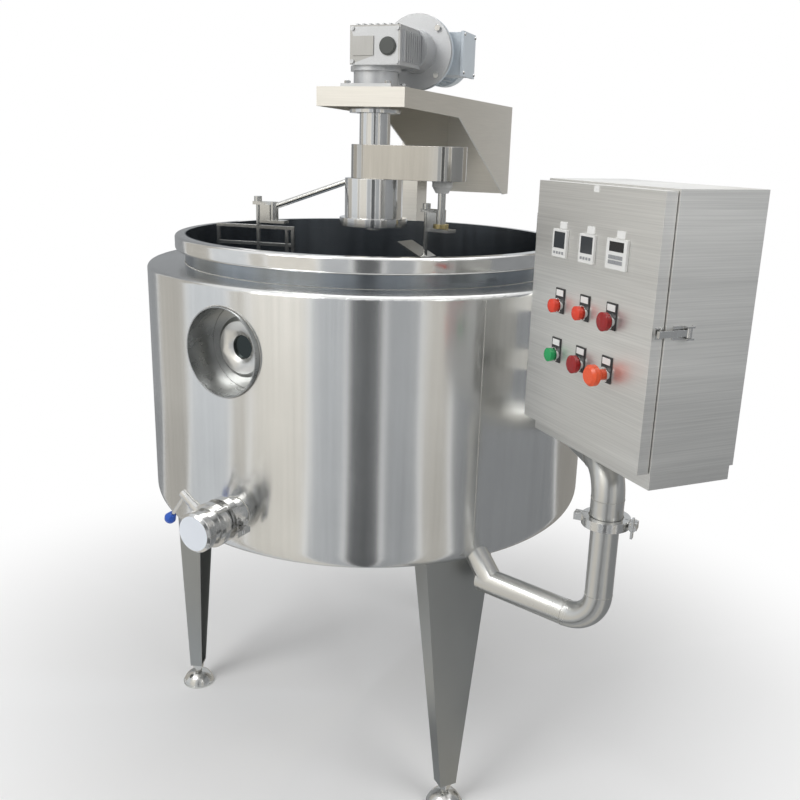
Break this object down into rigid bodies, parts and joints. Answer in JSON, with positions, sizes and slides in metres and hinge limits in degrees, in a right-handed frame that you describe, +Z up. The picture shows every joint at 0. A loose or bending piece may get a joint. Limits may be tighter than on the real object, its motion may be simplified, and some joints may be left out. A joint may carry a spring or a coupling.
{
  "type": "cheese vat",
  "caption": "Round jacketed steel cheese vat on tapered legs with an overhead planetary stirrer drive, drain valve, water loop and side control cabinet.",
  "frame": {"origin": "vat axis at floor level, the centre of the ring of floor anchor holes", "axes": "+Z up along the vat axis; the front of the vat, with the drain, faces -Y; the cabinet is to +X"},
  "size_m": [1.3754, 1.9538, 2.019],
  "materials": {
    "polished_steel": "mirror polished stainless",
    "brushed_steel": "brushed stainless, horizontal grain",
    "satin_steel": "satin stainless",
    "cast_alloy": "shot-blasted die cast",
    "motor_paint": "blue-grey paint",
    "dark_metal": "dark oxide",
    "white_plastic": "moulded",
    "pale_plastic": "moulded",
    "black_plastic": "moulded",
    "red_plastic": "moulded",
    "dark_red_plastic": "tinted lens",
    "green_plastic": "moulded",
    "blue_plastic": "moulded",
    "seal_rubber": "white seal",
    "sight_glass": "dark sight glass"
  },
  "bodies": {
    "vat": {"inner_vessel": "polished_steel", "outer_jacket": "polished_steel", "rim_ring": "polished_steel", "port_cup": "polished_steel", "port_boss": "polished_steel", "port_glass": "sight_glass", "legs": "satin_steel", "feet": "satin_steel", "outlet_stub": "brushed_steel", "valve_body": "brushed_steel", "outlet_cap": "pale_plastic", "clamp_rings": "brushed_steel", "wing_nuts": "brushed_steel", "tube_gaskets": "seal_rubber", "loop_lower": "brushed_steel", "loop_upper": "brushed_steel", "cabinet_body": "brushed_steel", "cabinet_plinth": "brushed_steel", "cabinet_arms": "brushed_steel", "mounting_plate": "brushed_steel", "hinge_fixed": "satin_steel", "latch_base": "satin_steel", "drive_post": "brushed_steel", "post_arms": "brushed_steel", "drive_bracket": "brushed_steel", "gearbox": "cast_alloy", "gearbox_cover": "dark_metal", "motor_body": "motor_paint", "fan_cover": "motor_paint", "terminal_box": "motor_paint", "drive_bolts": "dark_metal", "sleeve": "polished_steel"},
    "head": {"main_shaft": "satin_steel", "gear_case": "polished_steel", "case_floor": "satin_steel", "head_skirt": "polished_steel", "rod_arm": "satin_steel", "left_holder": "satin_steel", "harp_frame": "satin_steel"},
    "planet": {"planet_shaft": "satin_steel", "planet_nut": "white_plastic", "right_holder": "satin_steel", "stirrer": "satin_steel"},
    "valve": {"valve_disc": "satin_steel", "valve_handle": "satin_steel", "valve_knob": "blue_plastic"},
    "door": {"cabinet_door": "brushed_steel", "hinge_moving": "satin_steel", "latch_keeper": "satin_steel", "display_cases": "white_plastic", "display_windows": "black_plastic", "name_plates": "white_plastic", "button_holders": "black_plastic", "lamp_red": "dark_red_plastic"},
    "latch": {"latch_lever": "satin_steel"},
    "red_1": {"button_red_1": "red_plastic"},
    "red_2": {"button_red_2": "red_plastic"},
    "green": {"button_green": "green_plastic"},
    "stop": {"button_stop": "dark_red_plastic"},
    "estop": {"estop_button": "red_plastic"}
  },
  "joints": [
    {"name": "head_spin", "type": "hinge", "parent": "vat", "child": "head", "pos_m": [0, 0, 1.6], "axis": [0, 0, 1], "continuous": true},
    {"name": "planet_spin", "type": "hinge", "parent": "head", "child": "planet", "pos_m": [0.18585, -0.0395, 1.6], "axis": [0, 0, 1], "continuous": true},
    {"name": "valve_turn", "type": "hinge", "parent": "vat", "child": "valve", "pos_m": [-0.29034, -0.62263, 0.834], "axis": [-0.7332, 0.3419, 0.5878], "range_deg": [0, 90]},
    {"name": "door_swing", "type": "hinge", "parent": "vat", "child": "door", "pos_m": [0.40827, -0.58293, 1.373], "axis": [0, 0, -1], "range_deg": [0, 95]},
    {"name": "latch_swing", "type": "hinge", "parent": "vat", "child": "latch", "pos_m": [0.64911, -0.92429, 1.383], "axis": [0, 0, 1], "range_deg": [0, 100]},
    {"name": "red_1_press", "type": "slide", "parent": "door", "child": "red_1", "axis": [0.887, 0.4617, 0], "range_m": [0, 0.004], "stiffness_N_per_m": 600},
    {"name": "red_2_press", "type": "slide", "parent": "door", "child": "red_2", "axis": [0.887, 0.4617, 0], "range_m": [0, 0.004], "stiffness_N_per_m": 600},
    {"name": "green_press", "type": "slide", "parent": "door", "child": "green", "axis": [0.887, 0.4617, 0], "range_m": [0, 0.004], "stiffness_N_per_m": 600},
    {"name": "stop_press", "type": "slide", "parent": "door", "child": "stop", "axis": [0.887, 0.4617, 0], "range_m": [0, 0.004], "stiffness_N_per_m": 600},
    {"name": "estop_press", "type": "slide", "parent": "door", "child": "estop", "axis": [0.887, 0.4617, 0], "range_m": [0, 0.004], "stiffness_N_per_m": 600}
  ],
  "couplings": [
    {"joint": "planet_spin", "follows": "head_spin", "ratio": -2}
  ]
}
